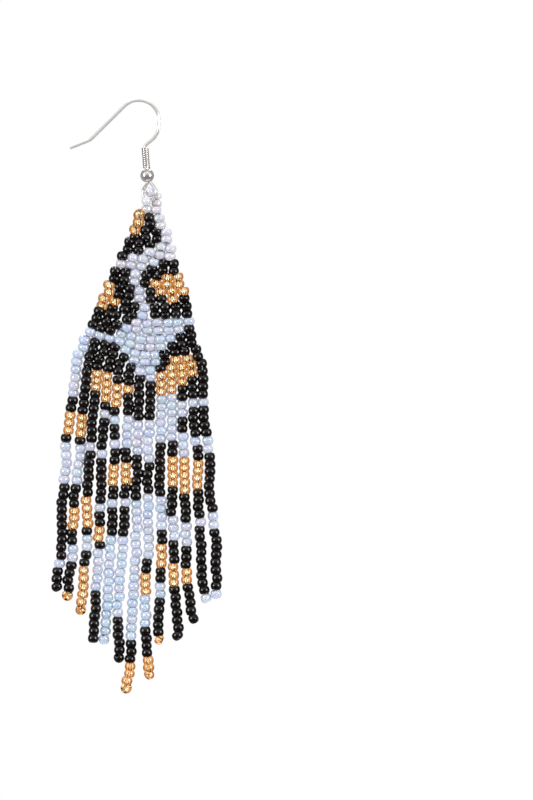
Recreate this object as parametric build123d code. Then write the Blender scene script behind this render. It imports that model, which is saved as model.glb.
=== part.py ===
from build123d import *
import os
from collections import namedtuple
from math import atan2, cos, degrees, radians, sin, tan

os.makedirs("parts", exist_ok=True)

# Dangling seed bead earring. Millimetres, +Z up, +X to the right as seen from the front, +Y to the
# back. The origin is under the crown of the ear hook, where the ear's piercing carries it.

# ---- ear hook, coil and ball ----
WIRE_D = 0.70            # round wire of the hook
CROWN_R = 4.20           # centre-line radius of the crown and of the back bend
COIL_WIRE_D = 0.41       # thin wire wound on the straight stretch
COIL_PITCH = 0.43        # one turn to the next, nearly touching
COIL_TOP_Z = -9.62
COIL_BOTTOM_Z = -13.86
SLIP = 0.02              # gap between the hook wire and what is threaded on it
BALL_D = 2.88
BALL_H = 2.65            # the ball is a little flat where its bore comes out
BALL_BORE_D = 0.80
BALL_Z = -15.43

# ---- wire loop that the beadwork hangs on ----
LOOP_TURN = 48.0         # degrees that the loop's plane is turned out of the hook's plane
LOOP_BOTTOM_Z = -20.52   # centre-line of its flat bottom stretch, which is the swing axis
SWING_S = 1.256          # how far along the bottom stretch the beadwork hangs

# ---- beads ----
BEAD_D = 2.05            # size 11 seed bead
BEAD_L = 1.50            # length along its hole
BEAD_END_D = 1.30        # flat round its hole
BEAD_BAND = 0.74         # height of the full-width band of a panel bead, between its chamfers
STACK = 1.58             # one bead to the next along a column
WEB_T = 0.90             # thickness of the thread web between the columns
THREAD_D = 0.28          # doubled thread through the ring beads
LEAN = 3.40              # degrees that the beadwork hangs back, so its weight is under the loop
STRAND_D = 2.00          # a string of beads as one tube
GAP = 0.05               # between the panel and each string, and between touching pieces

Corner = namedtuple("Corner", "name x z radius")
HOOK_CORNERS = (
    Corner("tip", -14.28, -9.64, None),
    Corner("tip_bend", -9.95, -7.94, 3.0),
    Corner("crown_front", -1.58, 0.35, CROWN_R),
    Corner("crown_back", 4.47, 0.35, CROWN_R),
    Corner("back_bend", 4.47, -6.72, CROWN_R),
    Corner("into_coil", 1.49, -9.18, 0.80),
)
# corners of the loop in its own plane: s runs along the plane from the ball's bore
LoopCorner = namedtuple("LoopCorner", "name s z radius")
LOOP_CORNERS = (
    LoopCorner("ball_exit", 0.00, -16.98, 0.45),
    LoopCorner("left_shoulder", -1.50, -18.30, 0.90),
    LoopCorner("left_bottom", -1.47, LOOP_BOTTOM_Z, 1.00),
    LoopCorner("right_bottom", 1.66, LOOP_BOTTOM_Z, 0.80),
    LoopCorner("right_shoulder", 3.02, -18.92, 0.60),
    LoopCorner("end", 0.80, -16.76, None),
)
BORE_X = 2.10            # where the straight stretch leaves the ball

turn = radians(LOOP_TURN)
loop_point = lambda s, z: Vector(BORE_X + s * cos(turn), -s * sin(turn), z)
SWING_POINT = loop_point(SWING_S, LOOP_BOTTOM_Z)
SWING_AXIS = Vector(cos(turn), -sin(turn), 0)

# ---- ring of four beads round the loop, from the swing point ----
RingBead = namedtuple("RingBead", "name x y z length")
RING_BEADS = (
    RingBead("top_left", -0.45, 0.15, 1.62, 1.40),
    RingBead("top_right", 1.30, 0.87, 0.72, 1.40),
    RingBead("low_right", 1.36, 0.50, -0.75, 1.30),
    RingBead("low_left", -1.30, -0.50, -0.42, 1.30),
)

# ---- panel: pairs of bead rows, from the swing point ----
# two single beads, then each row has its columns of two beads, from x_left to x_right; z is the
# level between the two beads, at the left end, the quarters and the right end, because rows sag
FirstBead = namedtuple("FirstBead", "x z")
FIRST_BEADS = (FirstBead(-1.34, -1.93), FirstBead(0.86, -2.16))
PanelRow = namedtuple("PanelRow", "columns x_left x_right z_left z_q1 z_mid z_q3 z_right")
PANEL_ROWS = (
    PanelRow(3, -2.60, 1.81, -3.93, -4.20, -4.47, -4.49, -4.49),
    PanelRow(4, -3.55, 3.13, -6.99, -7.16, -7.35, -7.50, -7.60),
    PanelRow(5, -4.96, 3.86, -9.90, -10.17, -10.53, -10.80, -11.01),
    PanelRow(6, -6.30, 4.56, -12.84, -13.20, -13.64, -14.05, -14.19),
    PanelRow(7, -7.81, 5.46, -15.79, -16.25, -16.77, -17.09, -17.04),
    PanelRow(8, -9.03, 6.59, -18.62, -19.43, -20.08, -20.20, -20.09),
    PanelRow(9, -10.19, 7.29, -21.42, -22.53, -23.41, -23.45, -23.22),
    PanelRow(10, -11.30, 7.90, -24.19, -25.55, -26.75, -26.77, -26.29),
    PanelRow(11, -12.71, 8.40, -27.11, -28.66, -30.11, -30.13, -29.38),
    PanelRow(12, -14.24, 9.45, -30.28, -31.79, -33.41, -33.24, -32.33),
    PanelRow(13, -15.54, 10.54, -33.50, -34.95, -36.73, -36.15, -35.46),
)

# ---- fringe: one string under each column of the last row ----
# x at the levels of FRINGE_LEVELS as far as the string reaches, then the middle of its last bead
FRINGE_LEVELS = (-37.84, -46.24, -54.64, -63.04, -71.44, -79.84, -88.24, -96.64)
Strand = namedtuple("Strand", "number beads tip_x tip_z x")
STRANDS = (
    Strand(1, 29, -20.08, -81.50, (-16.17, -17.26, -18.02, -18.80, -19.11, -20.14)),
    Strand(2, 30, -17.83, -83.35, (-13.99, -14.66, -15.44, -16.38, -16.45, -17.26)),
    Strand(3, 33, -15.04, -86.37, (-11.72, -12.43, -13.08, -13.50, -13.69, -14.45)),
    Strand(4, 35, -12.45, -92.42, (-9.45, -10.08, -10.60, -10.80, -11.12, -11.61, -12.08)),
    Strand(5, 34, -10.16, -92.59, (-7.35, -7.70, -7.94, -8.38, -8.59, -9.22, -9.74)),
    Strand(6, 37, -7.04, -96.49, (-5.06, -5.17, -5.42, -5.80, -6.15, -6.68, -7.31)),
    Strand(7, 39, -5.48, -102.94, (-2.54, -2.86, -3.15, -3.36, -3.25, -3.93, -4.16, -4.58)),
    Strand(8, 38, -0.65, -100.06, (-0.21, -0.50, -0.78, -0.76, -0.71, -1.39, -1.43, -0.80)),
    Strand(9, 35, 1.47, -92.65, (1.93, 1.97, 1.57, 1.85, 1.93, 1.85, 1.30)),
    Strand(10, 34, 5.35, -91.81, (4.12, 4.22, 4.33, 4.37, 4.51, 4.60, 5.29)),
    Strand(11, 33, 8.65, -88.24, (6.48, 6.45, 6.87, 6.91, 7.10, 7.37)),
    Strand(12, 30, 11.34, -83.92, (8.70, 8.82, 9.64, 9.70, 10.16, 10.61)),
    Strand(13, 29, 13.48, -83.01, (10.86, 11.00, 12.05, 12.18, 13.36, 13.52)),
)


def write(shape, name):
    shape.label = name
    export_step(shape, f"parts/{name}.step")


def hang(shape):
    """From the beadwork's own flat frame to where it hangs, leaning back from the swing point."""
    return Pos(*SWING_POINT) * Rot(LEAN, 0, 0) * shape


# ---------------------------------------------------------------- hook, coil, ball
hook_points = [Vector(c.x, 0, c.z) for c in HOOK_CORNERS] + [loop_point(c.s, c.z) for c in LOOP_CORNERS]
hook_radii = [c.radius for c in HOOK_CORNERS[1:]] + [c.radius for c in LOOP_CORNERS[:-1]]
hook_line = FilletPolyline(*hook_points, radius=hook_radii)
hook_start = Plane(origin=hook_line @ 0, z_dir=hook_line % 0)
ear_hook = sweep(hook_start * Circle(WIRE_D / 2), path=hook_line)
hook_ends = [e for e in ear_hook.edges().filter_by(GeomType.CIRCLE)
             if min((e.arc_center - hook_line @ 0).length, (e.arc_center - hook_line @ 1).length) < 0.05]
ear_hook = fillet(hook_ends, 0.20)
write(ear_hook, "ear_hook")

# the straight stretch, from the coil's top down to the ball's lower mouth
upper = hook_points[5]
lower = hook_points[6]
down = (lower - upper).normalized()
on_stretch = lambda z: upper + down * ((z - upper.Z) / down.Z)

coil_radius = WIRE_D / 2 + SLIP + COIL_WIRE_D / 2
coil_height = (COIL_TOP_Z - COIL_BOTTOM_Z) / abs(down.Z)
helix = Helix(pitch=COIL_PITCH, height=coil_height, radius=coil_radius)
coil_start = Plane(origin=helix @ 0, z_dir=helix % 0)
coil = sweep(coil_start * Circle(COIL_WIRE_D / 2), path=helix, is_frenet=True)
coil_wrap = Plane(origin=on_stretch(COIL_BOTTOM_Z), z_dir=-down).location * coil
write(coil_wrap, "coil_wrap")

ball = Sphere(BALL_D / 2) & Box(4, 4, BALL_H)
ball -= Cylinder(BALL_BORE_D / 2, 6)
ball_bead = Plane(origin=on_stretch(BALL_Z), z_dir=-down).location * ball
write(ball_bead, "ball_bead")


# ---------------------------------------------------------------- beads
def bead_profile(levels, length):
    """Outline of beads stacked along Z, each a barrel between two flats, as one closed face."""
    r_mid, r_end, h = BEAD_D / 2, BEAD_END_D / 2, length / 2
    low, high = levels[0] - h, levels[-1] + h
    edges = [Line((0, 0, low), (r_end, 0, low))]
    for i, level in enumerate(levels):
        bottom = low if i == 0 else (levels[i - 1] + level) / 2
        top = high if i == len(levels) - 1 else (level + levels[i + 1]) / 2
        edges.append(ThreePointArc((r_end, 0, bottom), (r_mid, 0, level), (r_end, 0, top)))
    edges.append(Line((r_end, 0, high), (0, 0, high)))
    edges.append(Line((0, 0, high), (0, 0, low)))
    return make_face(edges)


def chamfered_column(levels, length):
    """Beads stacked along Z for the panel: straight-sided bands with chamfers down to the flats."""
    r_mid, r_end, h = BEAD_D / 2, BEAD_END_D / 2, length / 2
    points = [(0, levels[0] - h), (r_end, levels[0] - h)]
    for level, above in zip(levels, list(levels[1:]) + [None]):
        points += [(r_mid, level - BEAD_BAND / 2), (r_mid, level + BEAD_BAND / 2)]
        points.append((r_end, level + h) if above is None else (r_end, (level + above) / 2))
    points.append((0, levels[-1] + h))
    return revolve(make_face(Polyline(*[(r, 0, z) for r, z in points], close=True)), Axis.Z)


single = chamfered_column([0.0], BEAD_L - 0.08)
column = chamfered_column([-STACK / 2, STACK / 2], BEAD_L)


def between(row, t):
    """Level of a row at t from its left end, 0 to 1, through its five stated levels."""
    levels = (row.z_left, row.z_q1, row.z_mid, row.z_q3, row.z_right)
    i = min(int(t * 4), 3)
    f = t * 4 - i
    return levels[i] * (1 - f) + levels[i + 1] * f


def row_columns(row):
    """Place and tilt of each column: x, level, slope in degrees."""
    places = []
    for j in range(row.columns):
        t = j / (row.columns - 1)
        a, b = max(t - 0.12, 0), min(t + 0.12, 1)
        slope = degrees(atan2(between(row, b) - between(row, a), (b - a) * (row.x_right - row.x_left)))
        places.append((row.x_left + t * (row.x_right - row.x_left), between(row, t), slope))
    return places


# ring of four beads and the thread that closes it
ring_at = [Vector(b.x, b.y, b.z) for b in RING_BEADS]
below_left = Vector(FIRST_BEADS[0].x, 0, FIRST_BEADS[0].z)
below_right = Vector(FIRST_BEADS[1].x, 0, FIRST_BEADS[1].z)
ring_dirs = (ring_at[1] - ring_at[3], ring_at[2] - ring_at[0], below_right - ring_at[1], ring_at[0] - below_left)
ring_parts = []
for bead, at, direction in zip(RING_BEADS, ring_at, ring_dirs):
    solid = revolve(bead_profile([0.0], bead.length), Axis.Z)
    ring_parts.append(Plane(origin=at, z_dir=direction).location * solid)
for i in range(4):
    a, b = ring_at[i], ring_at[(i + 1) % 4]
    rod = Plane(origin=a, z_dir=b - a) * Circle(THREAD_D / 2)
    ring_parts.append(extrude(rod, amount=(b - a).length))
bead_ring = ring_parts[0] + ring_parts[1:]
write(hang(bead_ring), "bead_ring")

# web of thread between the columns, a thin plate through the middle of the beads
left_side = [(row.x_left, row.z_left) for row in PANEL_ROWS]
right_side = [(row.x_right, row.z_right) for row in PANEL_ROWS]
last = PANEL_ROWS[-1]
bottom_side = [(last.x_left + t * (last.x_right - last.x_left), between(last, t) - STACK * 0.75)
               for t in (0.0, 0.25, 0.5, 0.75, 1.0)]
outline = ([(FIRST_BEADS[0].x, FIRST_BEADS[0].z)] + left_side + bottom_side
           + right_side[::-1] + [(FIRST_BEADS[1].x, FIRST_BEADS[1].z)])
web_face = Plane.XZ * make_face(Polyline(*outline, close=True))
web = extrude(web_face, amount=WEB_T / 2, both=True)

panel_parts = [Pos(b.x, 0, b.z) * single for b in FIRST_BEADS]
for row in PANEL_ROWS:
    for x, z, slope in row_columns(row):
        panel_parts.append(Pos(x, 0, z) * Rot(0, -slope, 0) * column)
bead_panel = web + panel_parts
write(hang(bead_panel), "bead_panel")


# ---------------------------------------------------------------- fringe
def strand_route(strand, x_top, z_top):
    """Corner points of a string from under the panel to the end of its last bead."""
    bottom = strand.tip_z - BEAD_D * 0.45
    points = [(x_top, z_top)]
    for x, z in zip(strand.x, FRINGE_LEVELS):
        if z < z_top - 3.5 and z > bottom + 3.5:
            points.append((x, z))
    points.append((strand.tip_x, bottom))
    return [Vector(x, 0, z) for x, z in points]


def fitted_radii(points):
    """The largest arc that both runs at each corner allow: 0.45 of the shorter run."""
    radii = []
    for a, b, c in zip(points, points[1:], points[2:]):
        half = radians((b - a).get_angle(c - b)) / 2
        radii.append(0.45 * min((b - a).length, (c - b).length) / tan(half))
    return radii


lowest = row_columns(PANEL_ROWS[-1])
strand_solids = []
for strand, (x, z, slope) in zip(STRANDS, lowest):
    route = strand_route(strand, x, z - STACK / 2 - BEAD_L / 2 - GAP)
    radii = fitted_radii(route)
    line = FilletPolyline(*route, radius=radii)
    start = Plane(origin=line @ 0, z_dir=line % 0)
    tube = sweep(start * Circle(STRAND_D / 2), path=line)
    ends = [e for e in tube.edges().filter_by(GeomType.CIRCLE) if (e.arc_center - line @ 1).length < 0.05]
    tube = fillet(ends, STRAND_D * 0.35)
    print(f"fringe_strand_{strand.number:02d} length {line.length:.1f} volume {tube.volume:.1f} "
          f"section x length {3.14159 * STRAND_D ** 2 / 4 * line.length:.1f} smallest radius {min(radii):.0f}")
    solid = hang(tube)
    strand_solids.append(solid)
    write(solid, f"fringe_strand_{strand.number:02d}")

# balance of the hanging beadwork about the swing axis
pieces = [hang(bead_ring), hang(bead_panel)] + strand_solids
mass = sum(p.volume for p in pieces)
centre = sum((p.center(CenterOf.MASS) * p.volume for p in pieces), Vector(0, 0, 0)) * (1 / mass)
arm = centre - SWING_POINT
sideways = Vector(sin(turn), cos(turn), 0)
print("swing point", SWING_POINT, "centre", centre, "off the axis plane", arm.dot(sideways))
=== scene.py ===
import math
import random
from collections import namedtuple

import bpy
import numpy as np
from mathutils import Matrix, Vector


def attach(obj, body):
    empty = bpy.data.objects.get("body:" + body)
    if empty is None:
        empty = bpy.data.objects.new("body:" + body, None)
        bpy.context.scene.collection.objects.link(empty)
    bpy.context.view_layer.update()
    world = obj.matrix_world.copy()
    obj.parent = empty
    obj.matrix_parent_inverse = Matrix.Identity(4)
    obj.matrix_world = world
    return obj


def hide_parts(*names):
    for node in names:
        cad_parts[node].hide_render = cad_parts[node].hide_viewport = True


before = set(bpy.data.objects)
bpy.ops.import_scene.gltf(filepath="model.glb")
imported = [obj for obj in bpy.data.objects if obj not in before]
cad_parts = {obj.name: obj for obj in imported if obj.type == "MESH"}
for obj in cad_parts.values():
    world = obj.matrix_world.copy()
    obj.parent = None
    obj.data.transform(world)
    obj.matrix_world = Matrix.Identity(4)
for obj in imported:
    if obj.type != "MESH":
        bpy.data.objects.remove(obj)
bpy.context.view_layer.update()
scene = bpy.context.scene

# Sizes are in millimetres in the tables below and go to metres where a mesh is made. +X is right,
# +Y is to the back, +Z is up; the origin is under the crown of the ear hook.
MM = 0.001

# ------------------------------------------------------------------ camera
FIELD_W, FIELD_H = 533 * 0.21, 800 * 0.21      # what the view spans in the earring's plane
VIEW_X, VIEW_Z = 27.03, -62.56                 # its middle
VIEW_FROM = 1300.0                             # a long lens, so the strings stay nearly parallel

camera_data = bpy.data.cameras.new("camera")
camera_data.sensor_width = 36.0
camera_data.lens = 36.0 * VIEW_FROM / FIELD_H
camera_data.clip_start, camera_data.clip_end = 0.05, 30.0
camera = bpy.data.objects.new("camera", camera_data)
camera.location = (VIEW_X * MM, -VIEW_FROM * MM, VIEW_Z * MM)
camera.rotation_euler = (math.radians(90), 0, 0)
scene.collection.objects.link(camera)
scene.camera = camera

# ------------------------------------------------------------------ sizes of the beadwork
LEAN = 3.40                                    # degrees that the beadwork hangs back
SWING_POINT = Vector((2.94043, -0.93339, -20.52))
BEAD_D, BEAD_L = 2.05, 1.58                    # size 11 seed bead
BEAD_HOLE_D = 0.72
# how the three glasses differ: width and length against the bead above, the circle round the hole
# where the bead is longest, and how ball-like its outside is (1 is an oval)
Cut = namedtuple("Cut", "width length crest_d roundness")
CUTS = {"black": Cut(1.13, 1.00, 1.46, 1.22), "pale": Cut(1.12, 1.09, 1.10, 1.06),
        "amber": Cut(1.13, 0.99, 1.40, 1.12)}
STACK = 1.58
PRESS = 1.05                                   # the rounded ends of neighbours nest this much
THREAD_D = 0.13

# plump is the bead's width against a panel bead's, so that all four clear the wire they turn about
RingBead = namedtuple("RingBead", "name x y z length plump")
RING_BEADS = (
    RingBead("top_left", -0.48, 0.15, 1.58, 1.50, 0.97),
    RingBead("top_right", 1.08, 1.06, 0.68, 1.48, 0.92),
    RingBead("low_right", 1.02, 0.68, -0.86, 1.50, 0.98),
    RingBead("low_left", -1.12, -0.72, -0.36, 1.54, 0.87),
)
FirstBead = namedtuple("FirstBead", "x z")
FIRST_BEADS = (FirstBead(-1.10, -1.93), FirstBead(0.84, -2.16))
# mid_right moves the middle of a row sideways, and lower_right the lower bead of each of its columns
PanelRow = namedtuple("PanelRow", "columns x_left x_right z_left z_q1 z_mid z_q3 z_right mid_right lower_right")
PANEL_ROWS = (
    PanelRow(3, -2.60, 1.81, -3.93, -4.20, -4.47, -4.49, -4.49, 0.00, 0.42),
    PanelRow(4, -3.55, 3.13, -6.99, -7.16, -7.35, -7.50, -7.60, 0.08, 0.30),
    PanelRow(5, -4.96, 3.86, -9.62, -9.90, -10.25, -10.72, -11.01, 0.12, 0.00),
    PanelRow(6, -6.30, 4.56, -12.62, -13.00, -13.44, -14.05, -14.22, -0.08, 0.00),
    PanelRow(7, -7.81, 5.46, -15.79, -16.25, -16.72, -17.09, -16.98, -0.12, 0.00),
    PanelRow(8, -9.03, 6.59, -18.62, -19.38, -20.10, -20.12, -19.95, -0.18, 0.22),
    PanelRow(9, -10.19, 7.29, -21.42, -22.38, -23.46, -23.32, -23.10, -0.08, -0.06),
    PanelRow(10, -11.30, 7.90, -24.15, -25.58, -26.72, -26.65, -26.29, -0.28, 0.10),
    PanelRow(11, -12.71, 8.40, -27.05, -28.66, -30.05, -30.10, -29.33, -0.26, -0.04),
    PanelRow(12, -14.24, 9.45, -30.24, -31.55, -33.38, -33.24, -32.20, -0.20, 0.08),
    PanelRow(13, -15.54, 10.54, -33.32, -34.72, -36.73, -36.10, -35.22, 0.00, -0.02),
)
FRINGE_LEVELS = (-37.84, -46.24, -54.64, -63.04, -71.44, -79.84, -88.24, -96.64)
# sag_upper and sag_lower are how far that half of a string has slipped down from an even spacing
Strand = namedtuple("Strand", "number beads tip_x tip_z sag_upper sag_lower x")
STRANDS = (
    Strand(1, 29, -20.08, -81.50, -0.30, -0.40, (-16.17, -17.26, -18.02, -18.80, -19.11, -20.14)),
    Strand(2, 30, -17.83, -83.35, 0.10, -0.10, (-13.99, -14.66, -15.44, -16.38, -16.45, -17.26)),
    Strand(3, 32, -15.04, -86.37, -0.75, -0.85, (-11.72, -12.43, -13.08, -13.50, -13.69, -14.45)),
    Strand(4, 35, -12.45, -92.42, 0.05, 0.30, (-9.45, -10.08, -10.60, -10.80, -11.12, -11.61, -12.08)),
    Strand(5, 34, -10.16, -92.59, 0.80, -0.20, (-7.35, -7.70, -7.94, -8.38, -8.59, -9.22, -9.74)),
    Strand(6, 37, -7.04, -96.49, -0.15, -0.20, (-5.06, -5.17, -5.42, -5.80, -6.15, -6.68, -7.31)),
    Strand(7, 39, -5.48, -102.94, -0.05, -0.10, (-2.54, -2.86, -3.15, -3.36, -3.25, -3.93, -4.16, -4.58)),
    Strand(8, 38, -0.65, -100.06, 0.15, 0.25, (-0.21, -0.50, -0.78, -0.76, -0.71, -1.39, -1.43, -0.80)),
    Strand(9, 34, 1.47, -92.65, 0.00, 0.05, (1.93, 1.97, 1.57, 1.85, 1.93, 1.85, 1.30)),
    Strand(10, 34, 5.35, -91.81, -0.35, -0.35, (4.12, 4.22, 4.33, 4.37, 4.51, 4.60, 5.29)),
    Strand(11, 32, 8.65, -88.24, 0.25, -0.20, (6.48, 6.45, 6.87, 6.91, 7.10, 7.37)),
    Strand(12, 30, 11.34, -83.92, 0.25, -0.10, (8.70, 8.82, 9.64, 9.70, 10.16, 10.61)),
    Strand(13, 29, 13.48, -83.01, 0.00, -0.15, (10.86, 11.00, 12.05, 12.18, 13.36, 13.52)),
)

# the last bead of each string, turned by the thread that goes round it: which way its hole points
# (x to the right, y to the back, z up)
Tip = namedtuple("Tip", "number x y z")
TIPS = (
    Tip(1, -0.45, 0.35, 0.82),
    Tip(2, -0.45, -0.75, 0.45),
    Tip(3, -0.42, -0.86, -0.28),
    Tip(4, 0.05, 0.30, 0.95),
    Tip(5, -0.15, -0.45, 0.88),
    Tip(6, -0.50, -0.45, 0.74),
    Tip(7, -0.55, -0.72, 0.42),
    Tip(8, -0.52, -0.50, -0.35),
    Tip(9, 0.86, -0.20, -0.46),
    Tip(10, 0.60, -0.35, -0.72),
    Tip(11, 0.80, -0.35, 0.48),
    Tip(12, -0.42, 0.10, 0.90),
    Tip(13, -0.30, -0.25, 0.92),
)

# ------------------------------------------------------------------ pattern
# Patches of colour on a black ground, charted as a beadwork pattern is; a later one wins. In the
# panel, rows of beads count from 0 at the peak and columns from 1 at the left; a patch runs from its
# top row to its bottom row, and its left and right ends slide evenly from top to bottom.
PanelSpot = namedtuple("PanelSpot", "name colour top bottom left_top right_top left_bottom right_bottom")
PANEL_SPOTS = (
    PanelSpot("peak", "pale", 0, 1, 1, 2, 1, 2),
    PanelSpot("right_rim", "pale", 2, 7, 3, 3, 5, 5),
    PanelSpot("sash", "pale", 6, 9, 4, 5, 1, 3),
    PanelSpot("neck", "pale", 10, 15, 3, 3, 5, 5),
    PanelSpot("diamond_upper", "pale", 16, 19, 4.8, 9.8, 3.3, 8.3),
    PanelSpot("diamond_lower", "pale", 20, 23, 5, 8, 8, 8),
    PanelSpot("left_tail", "pale", 19, 19, 1, 3, 1, 3),
    PanelSpot("left_rim", "pale", 20, 23, 1, 1, 1, 1),
    PanelSpot("amber_peak", "amber", 2, 4, 1, 1, 1, 1),
    PanelSpot("amber_left", "amber", 12, 14, 1, 1, 1, 1.6),
    PanelSpot("amber_left_foot", "amber", 15, 15, 1, 1, 1, 1),
    PanelSpot("amber_right", "amber", 10, 11, 6, 7, 5, 7),
    PanelSpot("amber_right_foot", "amber", 12, 13, 6, 8, 7, 7),
    PanelSpot("amber_low_right", "amber", 21, 23, 10, 11, 9, 12),
)
# In the fringe, strings count from 1 at the left and beads from 3 at the top, because each string
# goes on from the two beads of its column; a patch runs from its first string to its last, and its
# top and bottom slide evenly from the one to the other.
FringeSpot = namedtuple("FringeSpot", "name colour first last top_first bottom_first top_last bottom_last")
FRINGE_SPOTS = (
    FringeSpot("left_rim", "pale", 1, 1, 3, 6, 3, 6),
    FringeSpot("left_run", "pale", 1, 2, 13, 17, 13, 17),
    FringeSpot("left_lace", "pale", 3, 4, 13, 13, 13, 13),
    FringeSpot("eyes", "pale", 4, 5, 8, 8, 8, 8),
    FringeSpot("band_left", "pale", 6, 8, 8, 10.9, 8, 11.9),
    FringeSpot("band_right", "pale", 9, 10, 5, 10, 5, 10),
    FringeSpot("band_tip", "pale", 11, 11, 6, 7, 6, 7),
    FringeSpot("band_lace", "pale", 12, 13, 6, 6, 6, 6),
    FringeSpot("dot_left", "pale", 5, 5, 11, 11, 11, 11),
    FringeSpot("right_hook", "pale", 11, 12, 10, 12, 11, 11),
    FringeSpot("right_hook_end", "pale", 13, 13, 11, 12, 11, 12),
    FringeSpot("lace_middle", "pale", 4, 6, 19.9, 19.9, 18.9, 18.9),
    FringeSpot("stream", "pale", 7, 7, 18, 34, 18, 34),
    FringeSpot("stream_right", "pale", 8, 8, 17, 24, 17, 24),
    FringeSpot("stream_end", "pale", 9, 9, 18, 21, 18, 21),
    FringeSpot("right_run", "pale", 10, 11, 21, 23, 22, 24),
    FringeSpot("right_lace", "pale", 12, 13, 22, 22, 21, 22),
    FringeSpot("low_lace_left", "pale", 2, 3, 26, 27, 25, 26),
    FringeSpot("low_field_left", "pale", 4, 4, 26, 30, 26, 30),
    FringeSpot("low_field", "pale", 5, 6, 24, 36, 24, 33),
    FringeSpot("dot_edge", "pale", 1, 1, 28, 28, 28, 28),
    FringeSpot("low_run", "pale", 8, 8, 30, 33, 30, 33),
    FringeSpot("low_run_right", "pale", 9, 9, 29, 30, 29, 30),
    FringeSpot("tip_twelve", "pale", 12, 12, 32, 32, 32, 32),
    FringeSpot("tip_thirteen", "pale", 13, 13, 31, 31, 31, 31),
    FringeSpot("amber_upper_left", "amber", 3, 5, 2.9, 5, 3.9, 6),
    FringeSpot("amber_upper_end", "amber", 6, 6, 4, 4, 4, 4),
    FringeSpot("amber_upper_right", "amber", 9, 12, 3, 4.2, 1.0, 2.2),
    FringeSpot("amber_left_edge", "amber", 1, 2, 9, 11, 9, 11),
    FringeSpot("amber_middle", "amber", 5, 6, 14, 16, 14, 16),
    FringeSpot("amber_right_block", "amber", 10, 12, 12.9, 16, 13.9, 17),
    FringeSpot("amber_low_left", "amber", 2, 3, 21, 23, 20, 23),
    FringeSpot("amber_low_dot", "amber", 4, 4, 23, 24, 23, 24),
    FringeSpot("amber_tail_left", "amber", 3, 3, 29, 34, 29, 34),
    FringeSpot("amber_tip_two", "amber", 2, 2, 32, 32, 32, 32),
    FringeSpot("amber_step", "amber", 8, 9, 27, 29, 24, 26),
    FringeSpot("amber_low_right", "amber", 10, 11, 27, 29, 28, 29),
    FringeSpot("amber_tips_middle", "amber", 7, 8, 38, 41, 38, 40),
    FringeSpot("amber_tip_nine", "amber", 9, 9, 36, 36, 36, 36),
)


def slide(first, last, at, low, high):
    """The whole number at a place between two ends."""
    t = (at - first) / (last - first) if last > first else 0.0
    return int(low + t * (high - low) + 0.5)


def panel_colour(row, column):
    found = "black"
    for s in PANEL_SPOTS:
        if s.top <= row <= s.bottom:
            left = slide(s.top, s.bottom, row, s.left_top, s.left_bottom)
            right = slide(s.top, s.bottom, row, s.right_top, s.right_bottom)
            if left <= column <= right:
                found = s.colour
    return found


def fringe_colour(string, bead):
    found = "black"
    for s in FRINGE_SPOTS:
        if s.first <= string <= s.last:
            top = slide(s.first, s.last, string, s.top_first, s.top_last)
            bottom = slide(s.first, s.last, string, s.bottom_first, s.bottom_last)
            if top <= bead <= bottom:
                found = s.colour
    return found


# ------------------------------------------------------------------ materials
def material(name):
    """A new node material and its main shader."""
    made = bpy.data.materials.new(name)
    made.use_nodes = True
    return made, made.node_tree, made.node_tree.nodes["Principled BSDF"]


def noise(tree, scale, detail=2.0, roughness=0.5):
    """Noise over the object's own coordinates, in features per metre."""
    where = tree.nodes.new("ShaderNodeTexCoord")
    made = tree.nodes.new("ShaderNodeTexNoise")
    made.inputs["Scale"].default_value = scale
    made.inputs["Detail"].default_value = detail
    made.inputs["Roughness"].default_value = roughness
    tree.links.new(where.outputs["Object"], made.inputs["Vector"])
    return made


def spread(tree, source, low, high, from_low=0.3, from_high=0.7):
    """Maps a texture's value to a range."""
    made = tree.nodes.new("ShaderNodeMapRange")
    made.inputs["From Min"].default_value = from_low
    made.inputs["From Max"].default_value = from_high
    made.inputs["To Min"].default_value = low
    made.inputs["To Max"].default_value = high
    tree.links.new(source, made.inputs["Value"])
    return made.outputs["Result"]


def bump(tree, shader, source, strength, depth_mm):
    made = tree.nodes.new("ShaderNodeBump")
    made.inputs["Strength"].default_value = strength
    made.inputs["Distance"].default_value = depth_mm * MM
    tree.links.new(source, made.inputs["Height"])
    tree.links.new(made.outputs["Normal"], shader.inputs["Normal"])
    return made


def tint_of(tree, name="tint"):
    made = tree.nodes.new("ShaderNodeAttribute")
    made.attribute_type = "GEOMETRY"
    made.attribute_name = name
    return made.outputs["Color"]


def mixed(tree, factor, first, second, blend="MIX"):
    """A mix of two colours; each is a socket or three numbers."""
    made = tree.nodes.new("ShaderNodeMix")
    made.data_type = "RGBA"
    made.blend_type = blend
    for value, socket in ((factor, made.inputs[0]), (first, made.inputs[6]), (second, made.inputs[7])):
        if isinstance(value, bpy.types.NodeSocket):
            tree.links.new(value, socket)
        else:
            socket.default_value = (*value, 1.0) if isinstance(value, tuple) else value
    return made.outputs[2]


# opaque black glass, fire-polished, with faint waves in its surface
black_glass, tree, shader = material("black_glass")
cloud = noise(tree, 1400)
tree.links.new(mixed(tree, cloud.outputs["Fac"], (0.0022, 0.0012, 0.0012), (0.0050, 0.0030, 0.0030)),
               shader.inputs["Base Color"])
tree.links.new(spread(tree, cloud.outputs["Fac"], 0.07, 0.12), shader.inputs["Roughness"])
shader.inputs["IOR"].default_value = 1.50
bump(tree, shader, noise(tree, 1700, 2.0).outputs["Fac"], 0.25, 0.05)

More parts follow.
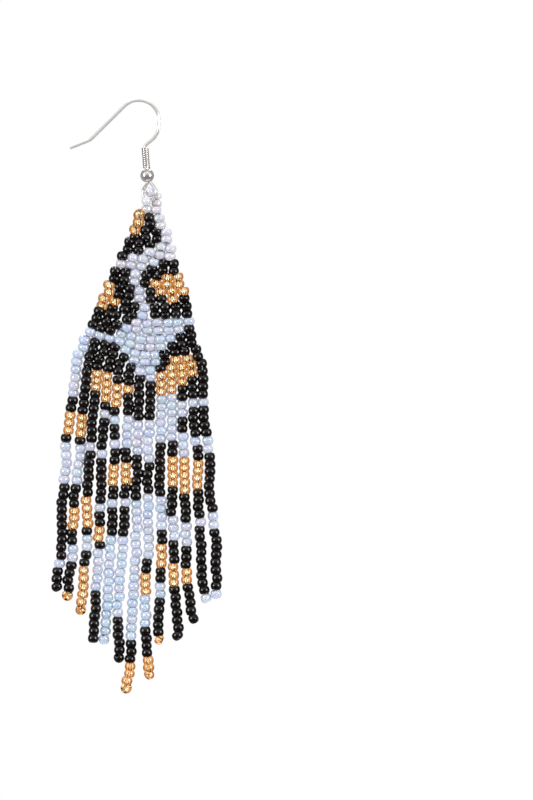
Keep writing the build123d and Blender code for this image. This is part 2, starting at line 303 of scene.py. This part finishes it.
# milky glass with a lustre coat: its body takes each bead's own tint
pale_glass, tree, shader = material("pale_glass")
cloud = noise(tree, 900)
body = mixed(tree, spread(tree, cloud.outputs["Fac"], 0.0, 0.20), tint_of(tree), (0.62, 0.62, 0.68))
body = mixed(tree, 0.16, body, noise(tree, 620, 1.0).outputs["Color"], "OVERLAY")
tree.links.new(body, shader.inputs["Base Color"])
tree.links.new(spread(tree, noise(tree, 1500).outputs["Fac"], 0.04, 0.07), shader.inputs["Roughness"])
shader.inputs["IOR"].default_value = 1.92
shader.inputs["Subsurface Weight"].default_value = 1.0
shader.inputs["Subsurface Radius"].default_value = (0.90, 0.95, 1.15)
shader.inputs["Subsurface Scale"].default_value = 1.20 * MM
tree.links.new(tint_of(tree, "gleam"), shader.inputs["Specular Tint"])
bump(tree, shader, noise(tree, 1000, 1.0).outputs["Fac"], 0.10, 0.04)

# clear amber glass; its base colour is painted deep orange where the surface turns edge on to the view, a painted
# shade that stands in for the longer path of light through the glass at the rim
amber_glass, tree, shader = material("amber_glass")
facing = tree.nodes.new("ShaderNodeLayerWeight")
facing.inputs["Blend"].default_value = 0.75
# painted shade: this mask is 1 where the surface turns edge on and darkens the amber toward the rim
painted_edge_shade = spread(tree, facing.outputs["Facing"], 0.0, 1.0, 0.06, 0.42)
amber_with_painted_rim_shade = mixed(tree, painted_edge_shade, tint_of(tree), (0.52, 0.15, 0.017))
tree.links.new(amber_with_painted_rim_shade, shader.inputs["Base Color"])
tree.links.new(spread(tree, noise(tree, 1500).outputs["Fac"], 0.03, 0.08), shader.inputs["Roughness"])
shader.inputs["IOR"].default_value = 1.50
shader.inputs["Transmission Weight"].default_value = 1.0
bump(tree, shader, noise(tree, 1100, 1.0).outputs["Fac"], 0.12, 0.04)

# the silver lining of the amber beads' holes
silver_lining, tree, shader = material("silver_lining")
shader.inputs["Metallic"].default_value = 1.0
fleck = noise(tree, 1800, 2.0)
tree.links.new(mixed(tree, spread(tree, fleck.outputs["Fac"], 0.0, 1.0), (0.92, 0.87, 0.77), (0.84, 0.74, 0.56)),
               shader.inputs["Base Color"])
tree.links.new(spread(tree, fleck.outputs["Fac"], 0.20, 0.30), shader.inputs["Roughness"])

# beading thread
thread_fibre, tree, shader = material("thread_fibre")
twist = noise(tree, 6000, 2.0)
tree.links.new(mixed(tree, twist.outputs["Fac"], (0.84, 0.84, 0.87), (0.97, 0.97, 0.98)),
               shader.inputs["Base Color"])
tree.links.new(spread(tree, twist.outputs["Fac"], 0.40, 0.62), shader.inputs["Roughness"])
bump(tree, shader, twist.outputs["Fac"], 0.4, 0.03)

# bright plating a little cloudy; the drawn wire is paler and less polished than the ball and coil
Plating = namedtuple("Plating", "name metallic smooth rough")
PLATINGS = (Plating("polished_metal", 0.81, 0.07, 0.12), Plating("plated_wire", 0.52, 0.08, 0.14))
plated = []
for plating in PLATINGS:
    made, tree, shader = material(plating.name)
    shader.inputs["Metallic"].default_value = plating.metallic
    haze = noise(tree, 900, 4.0, 0.6)
    tree.links.new(mixed(tree, haze.outputs["Fac"], (0.76, 0.745, 0.72), (0.86, 0.845, 0.825)),
                   shader.inputs["Base Color"])
    tree.links.new(spread(tree, haze.outputs["Fac"], plating.smooth, plating.rough), shader.inputs["Roughness"])
    bump(tree, shader, noise(tree, 3200, 2.0).outputs["Fac"], 0.05, 0.02)
    plated.append(made)
polished_metal, plated_wire = plated

MATERIALS = {"black": black_glass, "pale": pale_glass, "amber": amber_glass}


# ------------------------------------------------------------------ one bead's form
SEGMENTS = {"black": 28, "pale": 28, "amber": 40}    # clear glass shows a coarse mesh
STATIONS = 18


def bead_form(cut, segments):
    """A bead about Z with its hole: points, faces, and which faces line the hole. Its outline goes
    round an oval whose inner half is flatter and whose outer half is fuller, so the hole is straight
    and the outside is crowned like a ball's."""
    crest, hole, outer = cut.crest_d / 2, BEAD_HOLE_D / 2, BEAD_D / 2 * cut.width
    outline = []
    for i in range(STATIONS):
        a = 2 * math.pi * i / STATIONS
        c, s = math.cos(a), math.sin(a)
        if c > 0:
            r = crest + (outer - crest) * c
            z = BEAD_L / 2 * math.copysign(abs(s) ** cut.roundness, s)
        else:
            r = crest - (crest - hole) * abs(c) ** 0.65
            z = BEAD_L / 2 * s
        outline.append((r, z))
    points, faces, lining = [], [], []
    for j in range(segments):
        b = 2 * math.pi * j / segments
        points += [(r * math.cos(b), r * math.sin(b), z) for r, z in outline]
    for j in range(segments):
        k = (j + 1) % segments
        for i in range(STATIONS):
            n = (i + 1) % STATIONS
            faces.append((j * STATIONS + i, k * STATIONS + i, k * STATIONS + n, j * STATIONS + n))
            middle = 2 * math.pi * (i + 0.5) / STATIONS
            lining.append(math.cos(middle) < -0.35)
    return np.array(points), np.array(faces), np.array(lining)


FORMS = {colour: bead_form(cut, SEGMENTS[colour]) for colour, cut in CUTS.items()}
Bead = namedtuple("Bead", "colour at axis width length roll wedge tint gleam lined")


def turned(axis, roll):
    """Rotation that takes +Z to the axis."""
    z = np.array(axis, float)
    z /= np.linalg.norm(z)
    x = np.cross((0.0, 1.0, 0.0), z)
    x /= np.linalg.norm(x)
    y = np.cross(z, x)
    c, s = math.cos(roll), math.sin(roll)
    return np.stack([c * x + s * y, -s * x + c * y, z], axis=1)


lean = Matrix.Rotation(math.radians(LEAN), 3, "X")


def hang(point):
    """From the beadwork's flat frame to the row frame, in millimetres."""
    return SWING_POINT + lean @ Vector(point)


def bead_mesh(name, beads, colour):
    """All the beads of one colour as one mesh, with each bead's tint on its points."""
    form_points, form_faces, form_lining = FORMS[colour]
    count = len(form_points)
    points, faces, tints, gleams, lining = [], [], [], [], []
    for n, bead in enumerate(beads):
        form = form_points * (bead.width, bead.width, bead.length)
        form[:, 2] *= 1 + bead.wedge * form[:, 0] / BEAD_D
        at = np.array(hang(bead.at))
        axis = lean @ Vector(bead.axis)
        points.append(form @ turned(axis, bead.roll).T + at)
        faces.append(form_faces + n * count)
        tints.append(np.tile((*bead.tint, 1.0), (count, 1)))
        gleams.append(np.tile((*bead.gleam, 1.0), (count, 1)))
        lining.append(form_lining & bead.lined)
    points = np.concatenate(points) * MM
    faces = np.concatenate(faces)
    mesh = bpy.data.meshes.new(name)
    mesh.vertices.add(len(points))
    mesh.vertices.foreach_set("co", points.astype(np.float32).ravel())
    mesh.loops.add(faces.size)
    mesh.loops.foreach_set("vertex_index", faces.astype(np.int32).ravel())
    mesh.polygons.add(len(faces))
    mesh.polygons.foreach_set("loop_start", np.arange(0, faces.size, 4, dtype=np.int32))
    mesh.polygons.foreach_set("loop_total", np.full(len(faces), 4, dtype=np.int32))
    mesh.materials.append(MATERIALS[colour])
    if colour == "amber":
        mesh.materials.append(silver_lining)
        mesh.polygons.foreach_set("material_index", np.concatenate(lining).astype(np.int32))
    mesh.polygons.foreach_set("use_smooth", np.ones(len(faces), dtype=bool))
    for title, colours in (("tint", tints), ("gleam", gleams)):
        layer = mesh.attributes.new(title, "FLOAT_COLOR", "POINT")
        layer.data.foreach_set("color", np.concatenate(colours).astype(np.float32).ravel())
    mesh.update()
    mesh.validate()
    return mesh


def add_beads(stem, beads, *nodes):
    """One piece for each colour among these beads, riding on the drop."""
    for colour in ("black", "pale", "amber"):
        chosen = [b for b in beads if b.colour == colour]
        if chosen:
            name = f"{stem}_{colour}"
            piece = bpy.data.objects.new(name, bead_mesh(name, chosen, colour))
            scene.collection.objects.link(piece)
            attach(piece, "drop")
            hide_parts(*nodes)


# ------------------------------------------------------------------ each bead's own look
def pale_tint(chance, cool, whiten):
    """Milky glass from greyish lilac to light blue; cool says how blue this part is and whiten
    how far it is drawn toward a pale grey-white, 0 to 1."""
    t = min(max(cool + chance.gauss(0, 0.20), 0.0), 1.0)
    lilac = Vector((0.55, 0.545, 0.65))
    blue = Vector((0.42, 0.53, 0.68))
    pale_grey_white = Vector((0.625, 0.61, 0.635))
    tint = lilac.lerp(blue, t).lerp(pale_grey_white, whiten)
    return tuple(tint * chance.uniform(0.94, 1.04))


def amber_tint(chance):
    t = chance.uniform(0.0, 1.0)
    return tuple(Vector((1.0, 0.91, 0.68)).lerp(Vector((0.98, 0.79, 0.46)), t))


# the colours that the lustre coat gives its highlights
GLEAMS = ((1.0, 0.97, 0.86), (1.0, 1.0, 1.0), (1.0, 0.78, 0.86), (0.72, 1.0, 1.0), (1.0, 0.93, 0.80))


def made_bead(chance, colour, at, axis, length=1.0, cool=0.4, whiten=0.0, sway=1.0, nod=0.0, plump=1.0, lined=True):
    """A bead near its place: glass beads differ a little in size and sit a little askew. nod is how
    far the thread tips their holes to the front or the back."""
    at = Vector(at) + Vector((chance.gauss(0, 0.06), chance.gauss(0, 0.09), chance.gauss(0, 0.015))) * sway
    axis = Vector(axis) + Vector((chance.gauss(0, 0.07), chance.gauss(0, 0.11), 0.0)) * sway
    axis.y += nod * chance.choice((-1.0, 1.0)) * chance.uniform(0.6, 1.2)
    tint = {"black": lambda: (0.01, 0.01, 0.01), "pale": lambda: pale_tint(chance, cool, whiten),
            "amber": lambda: amber_tint(chance)}[colour]()
    width = plump * min(max(chance.gauss(1.0, 0.024), 0.95), 1.06)
    return Bead(colour, at, axis.normalized(), width, length,
                chance.uniform(0, 2 * math.pi), chance.gauss(0, 0.06), tint, chance.choice(GLEAMS), lined)


# ------------------------------------------------------------------ ring of four beads
chance = random.Random(11)
ring_at = [Vector((b.x, b.y, b.z)) for b in RING_BEADS]
below_left = Vector((FIRST_BEADS[0].x, 0, FIRST_BEADS[0].z))
below_right = Vector((FIRST_BEADS[1].x, 0, FIRST_BEADS[1].z))
ring_axes = (ring_at[1] - ring_at[3], ring_at[2] - ring_at[0], below_right - ring_at[1], ring_at[0] - below_left)
# the ring beads are drawn nearly all the way to the pale grey-white
add_beads("ring_beads", [
    made_bead(chance, "pale", at, axis, b.length / BEAD_L, cool=0.1, whiten=0.9, sway=0.0, plump=b.plump)
    for b, at, axis in zip(RING_BEADS, ring_at, ring_axes)], "bead_ring")


# ------------------------------------------------------------------ panel
def between(row, t):
    levels = (row.z_left, row.z_q1, row.z_mid, row.z_q3, row.z_right)
    i = min(int(t * 4), 3)
    f = t * 4 - i
    return levels[i] * (1 - f) + levels[i + 1] * f


def row_columns(row):
    """Place and tilt of each column: x, level, slope in radians."""
    places = []
    for j in range(row.columns):
        t = j / (row.columns - 1)
        a, b = max(t - 0.12, 0), min(t + 0.12, 1)
        slope = math.atan2(between(row, b) - between(row, a), (b - a) * (row.x_right - row.x_left))
        slope += row.lower_right / (2 * STACK)
        x = row.x_left + t * (row.x_right - row.x_left) + row.mid_right * 4 * t * (1 - t)
        places.append((x, between(row, t), slope))
    return places


# beads that the thread has pulled out of line, in millimetres
Pulled = namedtuple("Pulled", "row column right up")
PULLED = (
    Pulled(2, 2, -0.12, -0.14), Pulled(3, 2, 0.12, 0.14), Pulled(2, 3, -0.24, -0.12), Pulled(3, 3, -0.12, 0.00),
    Pulled(12, 4, -0.22, 0.00), Pulled(13, 1, 0.28, 0.00), Pulled(14, 4, -0.15, -0.36),
    Pulled(15, 4, -0.28, -0.60), Pulled(15, 5, -0.30, -0.08), Pulled(15, 3, 0.36, 0.14),
    Pulled(14, 3, 0.12, 0.18), Pulled(16, 3, -0.38, 0.50), Pulled(16, 4, -0.34, 0.04),
    Pulled(16, 5, -0.24, 0.00), Pulled(18, 2, -0.42, -0.22), Pulled(18, 3, -0.28, 0.16),
)
# beads turned out of line, and which way their holes point
Turned = namedtuple("Turned", "row column x y z")
TURNED = (Turned(2, 1, -0.64, 0.46, 0.62), Turned(4, 1, 0.30, -0.30, 0.90))
turned_beads = {(q.row, q.column): Vector((q.x, q.y, q.z)) for q in TURNED}
NODS = {"black": 0.50, "pale": 0.34, "amber": 0.16}
PLUMPS = {"black": 1.02, "pale": 1.07, "amber": 1.09}
pulled = {(q.row, q.column): Vector((q.right, 0, q.up)) for q in PULLED}
chance = random.Random(23)
panel = [made_bead(chance, "pale", (b.x, 0, b.z), (0, 0, 1), 1.02, cool=0.1, whiten=0.85, sway=0.3)
         for b in FIRST_BEADS]
for p, row in enumerate(PANEL_ROWS, start=1):
    for column, (x, z, slope) in enumerate(row_columns(row), start=1):
        up = Vector((-math.sin(slope), 0, math.cos(slope)))
        askew = Vector((chance.gauss(0, 0.05), chance.gauss(0, 0.12), chance.gauss(0, 0.04)))
        for half, side in enumerate((0.5, -0.5)):
            at = Vector((x, 0, z)) + up * STACK * side + askew
            at += pulled.get((2 * p + half, column), Vector((0, 0, 0)))
            cool = 0.10 + 0.42 * min(p / 9.0, 1.0)
            colour = panel_colour(2 * p + half, column)
            size = chance.uniform(1.05, 1.11) if colour == "pale" else chance.uniform(1.01, 1.08)
            axis = turned_beads.get((2 * p + half, column))
            # the upper rows of the panel are drawn toward the pale grey-white, less with each row down
            panel.append(made_bead(chance, colour, at, axis or up, size, cool=cool, whiten=max(0.80 - 0.11 * p, 0.0),
                                   nod=0.0 if axis else NODS[colour], plump=PLUMPS[colour]))
add_beads("panel_beads", panel, "bead_panel")


# ------------------------------------------------------------------ fringe
def strand_line(strand, x_start, z_start):
    """Smooth line of a string: x for any level, through its stated places."""
    knots = [(z_start, x_start)]
    knots += [(z, x) for x, z in zip(strand.x, FRINGE_LEVELS) if strand.tip_z + 3.5 < z < z_start - 3.5]
    knots.append((strand.tip_z, strand.tip_x))
    zs = [k[0] for k in knots]
    xs = [k[1] for k in knots]
    slopes = []
    for i in range(len(knots)):
        a, b = max(i - 1, 0), min(i + 1, len(knots) - 1)
        slopes.append((xs[b] - xs[a]) / (zs[b] - zs[a]))

    def x_at(z):
        i = 0
        while i < len(zs) - 2 and z < zs[i + 1]:
            i += 1
        h = zs[i + 1] - zs[i]
        t = (z - zs[i]) / h
        return ((2 * t ** 3 - 3 * t ** 2 + 1) * xs[i] + (t ** 3 - 2 * t ** 2 + t) * h * slopes[i]
                + (-2 * t ** 3 + 3 * t ** 2) * xs[i + 1] + (t ** 3 - t ** 2) * h * slopes[i + 1])
    return x_at


def bulge(t):
    """From 0 up to 1 at the middle and back."""
    return math.sin(math.pi * min(max(t, 0.0), 1.0))


def tube(points, radius, sides=8):
    """Points and faces of a closed thin tube along a line of points."""
    rings, faces = [], []
    for i, p in enumerate(points):
        a, b = points[max(i - 1, 0)], points[min(i + 1, len(points) - 1)]
        along = (b - a).normalized()
        side = along.cross(Vector((0.31, 0.95, 0.05))).normalized()
        other = along.cross(side)
        rings.append([p + (side * math.cos(t) + other * math.sin(t)) * radius
                      for t in (2 * math.pi * k / sides for k in range(sides))])
    for i in range(len(points) - 1):
        for k in range(sides):
            n = (k + 1) % sides
            faces.append((i * sides + k, i * sides + n, (i + 1) * sides + n, (i + 1) * sides + k))
    faces.append(tuple(range(sides))[::-1])
    faces.append(tuple((len(points) - 1) * sides + k for k in range(sides)))
    return [q for ring in rings for q in ring], faces


def add_threads(name, lines, *nodes):
    """Several runs of thread as one piece, from points in the beadwork's flat frame."""
    points, faces = [], []
    for line in lines:
        p, f = tube([hang(q) for q in line], THREAD_D / 2)
        faces += [tuple(i + len(points) for i in face) for face in f]
        points += p
    mesh = bpy.data.meshes.new(name)
    mesh.from_pydata([tuple(q * MM) for q in points], [], faces)
    mesh.polygons.foreach_set("use_smooth", np.ones(len(faces), dtype=bool))
    mesh.materials.append(thread_fibre)
    mesh.update()
    piece = bpy.data.objects.new(name, mesh)
    scene.collection.objects.link(piece)
    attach(piece, "drop")
    if nodes:
        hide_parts(*nodes)


strand_threads = []
for strand, tip, (x, z, slope) in zip(STRANDS, TIPS, row_columns(PANEL_ROWS[-1])):
    chance = random.Random(100 + strand.number)
    x_start, z_start = x + math.sin(slope) * STACK / 2, z - math.cos(slope) * STACK / 2
    x_at = strand_line(strand, x_start, z_start)
    # the beads touch, each as long as it happens to be; the first of these is the panel's last bead
    colours = [fringe_colour(strand.number, n + 2) for n in range(strand.beads + 1)]
    sizes = [CUTS[c].length * min(max(chance.gauss(1.0, 0.04), 0.91), 1.10) for c in colours]
    steps = [(a + b) / 2 for a, b in zip(sizes, sizes[1:])]
    scale = (z_start - strand.tip_z) / sum(steps)
    beads, centres = [], []
    drift_x = drift_y = 0.0
    even = z_start
    for n in range(1, strand.beads + 1):
        even -= steps[n - 1] * scale
        down_by = (z_start - even) / (z_start - strand.tip_z)
        level = even - strand.sag_upper * bulge(down_by / 0.6) - strand.sag_lower * bulge(down_by / 0.6 - 2 / 3)
        loose = min(n / 10.0, 1.0)
        drift_x = 0.30 * drift_x + chance.gauss(0, 0.12) * loose
        drift_y = 0.70 * drift_y + chance.gauss(0, 0.06) * loose
        at = Vector((x_at(level) + drift_x, drift_y, level))
        down = Vector((x_at(level - 1.0) - x_at(level + 1.0), 0.0, -2.0))
        colour = colours[n]
        cool = 0.35 + 0.35 * min(max((n - 8) / 20.0, 0.0), 1.0) * (1.0 if 4 <= strand.number <= 9 else 0.2)
        last = n == strand.beads
        lined = not last and n < 35                  # the amber beads at the tips are plain ones
        if last:
            at = Vector((strand.tip_x, 0, strand.tip_z))
            down = Vector((tip.x, tip.y, tip.z))
        beads.append(made_bead(chance, colour, at, -down, PRESS * sizes[n] * scale / BEAD_L, cool=cool,
                               sway=0.3 if last else 1.0, lined=lined))
        centres.append(Vector(at))
    add_beads(f"string_{strand.number:02d}", beads, f"fringe_strand_{strand.number:02d}")
    strand_threads.append([Vector((x_start, 0, z_start + 2.0)), Vector((x_start, 0, z_start))] + centres[:-1]
                          + [centres[-1] + Vector((0, 0, 0.35))])
add_threads("string_threads", strand_threads)

# thread of the panel: down each column, and across under each row
panel_threads = []
for row in PANEL_ROWS:
    places = row_columns(row)
    for x, z, slope in places:
        up = Vector((-math.sin(slope), 0, math.cos(slope)))
        panel_threads.append([Vector((x, 0, z)) + up * s for s in (1.9, 0.6, -0.6, -1.75)])
    for (xa, za, sa), (xb, zb, sb) in zip(places, places[1:]):
        a = Vector((xa + math.sin(sa) * 1.60, 0.06, za - math.cos(sa) * 1.60))
        b = Vector((xb + math.sin(sb) * 1.60, 0.06, zb - math.cos(sb) * 1.60))
        panel_threads.append([a, a.lerp(b, 0.5) + Vector((0, 0, -0.08)), b])
ring_line = [ring_at[3], ring_at[0], ring_at[1], ring_at[2]]
for a, b in zip(ring_line, ring_line[1:]):
    panel_threads.append([a, a.lerp(b, 0.5), b])
for top, under, column in ((ring_at[3], below_left, 0), (ring_at[2], below_right, -1)):
    x, z, slope = row_columns(PANEL_ROWS[0])[column]
    panel_threads.append([top, under, Vector((x, 0, z + STACK))])
add_threads("panel_threads", panel_threads)

# ------------------------------------------------------------------ hook, coil and ball
for node in ("ear_hook", "coil_wrap", "ball_bead"):
    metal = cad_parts[node]
    metal.data.materials.clear()
    metal.data.materials.append(plated_wire if node == "ear_hook" else polished_metal)
    metal.data.polygons.foreach_set("use_smooth", np.ones(len(metal.data.polygons), dtype=bool))

# ------------------------------------------------------------------ floor, light and surround
FLOOR_Z = -0.165
floor_mesh = bpy.data.meshes.new("floor")
ring_points, ring_faces = [(0.0, 0.0, FLOOR_Z)], []
for r in (0.5, 1.0, 2.0, 4.0, 8.0):
    ring_points += [(r * math.cos(2 * math.pi * k / 48), r * math.sin(2 * math.pi * k / 48), FLOOR_Z) for k in range(48)]
for k in range(48):
    ring_faces.append((0, 1 + k, 1 + (k + 1) % 48))
    for i in range(4):
        a, b = 1 + i * 48, 1 + (i + 1) * 48
        ring_faces.append((a + k, b + k, b + (k + 1) % 48, a + (k + 1) % 48))
floor_mesh.from_pydata(ring_points, [], ring_faces)
floor = bpy.data.objects.new("floor", floor_mesh)
scene.collection.objects.link(floor)
floor.visible_glossy = False
floor_paint, tree, shader = material("floor_paint")
shader.inputs["Base Color"].default_value = (0.86, 0.86, 0.87, 1.0)
shader.inputs["Roughness"].default_value = 0.9
shader.inputs["Specular IOR Level"].default_value = 0.1
where = tree.nodes.new("ShaderNodeTexCoord")
flat = tree.nodes.new("ShaderNodeVectorMath")
flat.operation = "MULTIPLY"
flat.inputs[1].default_value = (1.0, 1.0, 0.0)
length = tree.nodes.new("ShaderNodeVectorMath")
length.operation = "LENGTH"
tree.links.new(where.outputs["Object"], flat.inputs[0])
tree.links.new(flat.outputs["Vector"], length.inputs[0])
far = spread(tree, length.outputs["Value"], 0.0, 1.0, 0.08, 0.27)
glow = tree.nodes.new("ShaderNodeEmission")
glow.inputs["Color"].default_value = (1.0, 1.0, 1.0, 1.0)
glow.inputs["Strength"].default_value = 1.0
blend = tree.nodes.new("ShaderNodeMixShader")
tree.links.new(far, blend.inputs[0])
tree.links.new(shader.outputs["BSDF"], blend.inputs[1])
tree.links.new(glow.outputs["Emission"], blend.inputs[2])
tree.links.new(blend.outputs["Shader"], tree.nodes["Material Output"].inputs["Surface"])
floor_mesh.materials.append(floor_paint)

# two large soft boxes, one each side of the view, a weak wide one above and one high at the back
Softbox = namedtuple("Softbox", "name azimuth elevation distance width height watts")
SOFTBOXES = (
    Softbox("soft_left", -54, 6, 1.7, 0.76, 0.88, 17.0),
    Softbox("soft_right", 54, 6, 1.7, 0.76, 0.88, 17.0),
    Softbox("soft_top", 0, 66, 1.7, 1.60, 1.20, 8.0),
    Softbox("soft_back", 180, 48, 1.7, 1.40, 1.00, 14.0),
)
aim = Vector((-0.001, 0.002, -0.055))
for box in SOFTBOXES:
    data = bpy.data.lights.new(box.name, "AREA")
    data.shape = "RECTANGLE"
    data.size, data.size_y = box.width, box.height
    data.energy = box.watts
    lamp = bpy.data.objects.new(box.name, data)
    az, el = math.radians(box.azimuth), math.radians(box.elevation)
    way = Vector((math.sin(az) * math.cos(el), -math.cos(az) * math.cos(el), math.sin(el)))
    lamp.location = aim + way * box.distance
    lamp.rotation_euler = way.to_track_quat("Z", "Y").to_euler()
    lamp.visible_camera = False
    lamp.visible_diffuse = box.name in ("soft_top", "soft_back")
    lamp.visible_glossy = box.name != "soft_top"
    scene.collection.objects.link(lamp)

# the surround: plain white to look at or through; what gets reflected is a dim room, darkest in front
# and below and paler behind and above
world = bpy.data.worlds.new("surround")
world.use_nodes = True
scene.world = world
tree = world.node_tree
back = tree.nodes["Background"]
where = tree.nodes.new("ShaderNodeTexCoord")
parts = tree.nodes.new("ShaderNodeSeparateXYZ")
tree.links.new(where.outputs["Generated"], parts.inputs["Vector"])
rise = tree.nodes.new("ShaderNodeValToRGB")
Band = namedtuple("Band", "height red green blue")
BANDS = (Band(-1.0, 0.095, 0.062, 0.056), Band(-0.38, 0.100, 0.068, 0.062), Band(-0.12, 0.24, 0.22, 0.21),
         Band(0.14, 0.60, 0.59, 0.58), Band(0.45, 0.86, 0.86, 0.86))
for i, band in enumerate(BANDS):
    stop = rise.color_ramp.elements[i] if i < 2 else rise.color_ramp.elements.new(band.height * 0.5 + 0.5)
    stop.position = band.height * 0.5 + 0.5
    stop.color = (band.red, band.green, band.blue, 1.0)
tree.links.new(spread(tree, parts.outputs["Z"], 0.0, 1.0, -1.0, 1.0), rise.inputs["Fac"])
behind = spread(tree, parts.outputs["Y"], 0.0, 1.0, -0.34, -0.12)
front = spread(tree, parts.outputs["Y"], 0.40, 1.0, -0.97, -0.86)
level = mixed(tree, behind, rise.outputs["Color"], (0.24, 0.23, 0.225))
level = mixed(tree, 1.0, level, front, "MULTIPLY")
tree.links.new(level, back.inputs["Color"])
back.inputs["Strength"].default_value = 1.0


def plain_background(strength):
    made = tree.nodes.new("ShaderNodeBackground")
    made.inputs["Color"].default_value = (1.0, 1.0, 1.0, 1.0)
    made.inputs["Strength"].default_value = strength
    return made.outputs["Background"]


def picked(factor, first, second):
    made = tree.nodes.new("ShaderNodeMixShader")
    for link, socket in ((factor, 0), (first, 1), (second, 2)):
        tree.links.new(link, made.inputs[socket])
    return made.outputs["Shader"]


rays = tree.nodes.new("ShaderNodeLightPath")
surround = picked(rays.outputs["Is Diffuse Ray"], back.outputs["Background"], plain_background(1.40))
seen_through = picked(spread(tree, parts.outputs["Y"], 0.0, 1.0, 0.40, 0.80), plain_background(0.48),
                      plain_background(1.0))
surround = picked(rays.outputs["Is Transmission Ray"], surround, seen_through)
surround = picked(rays.outputs["Is Camera Ray"], surround, plain_background(1.0))
tree.links.new(surround, tree.nodes["World Output"].inputs["Surface"])

scene.view_settings.view_transform = "Standard"
scene.view_settings.look = "None"
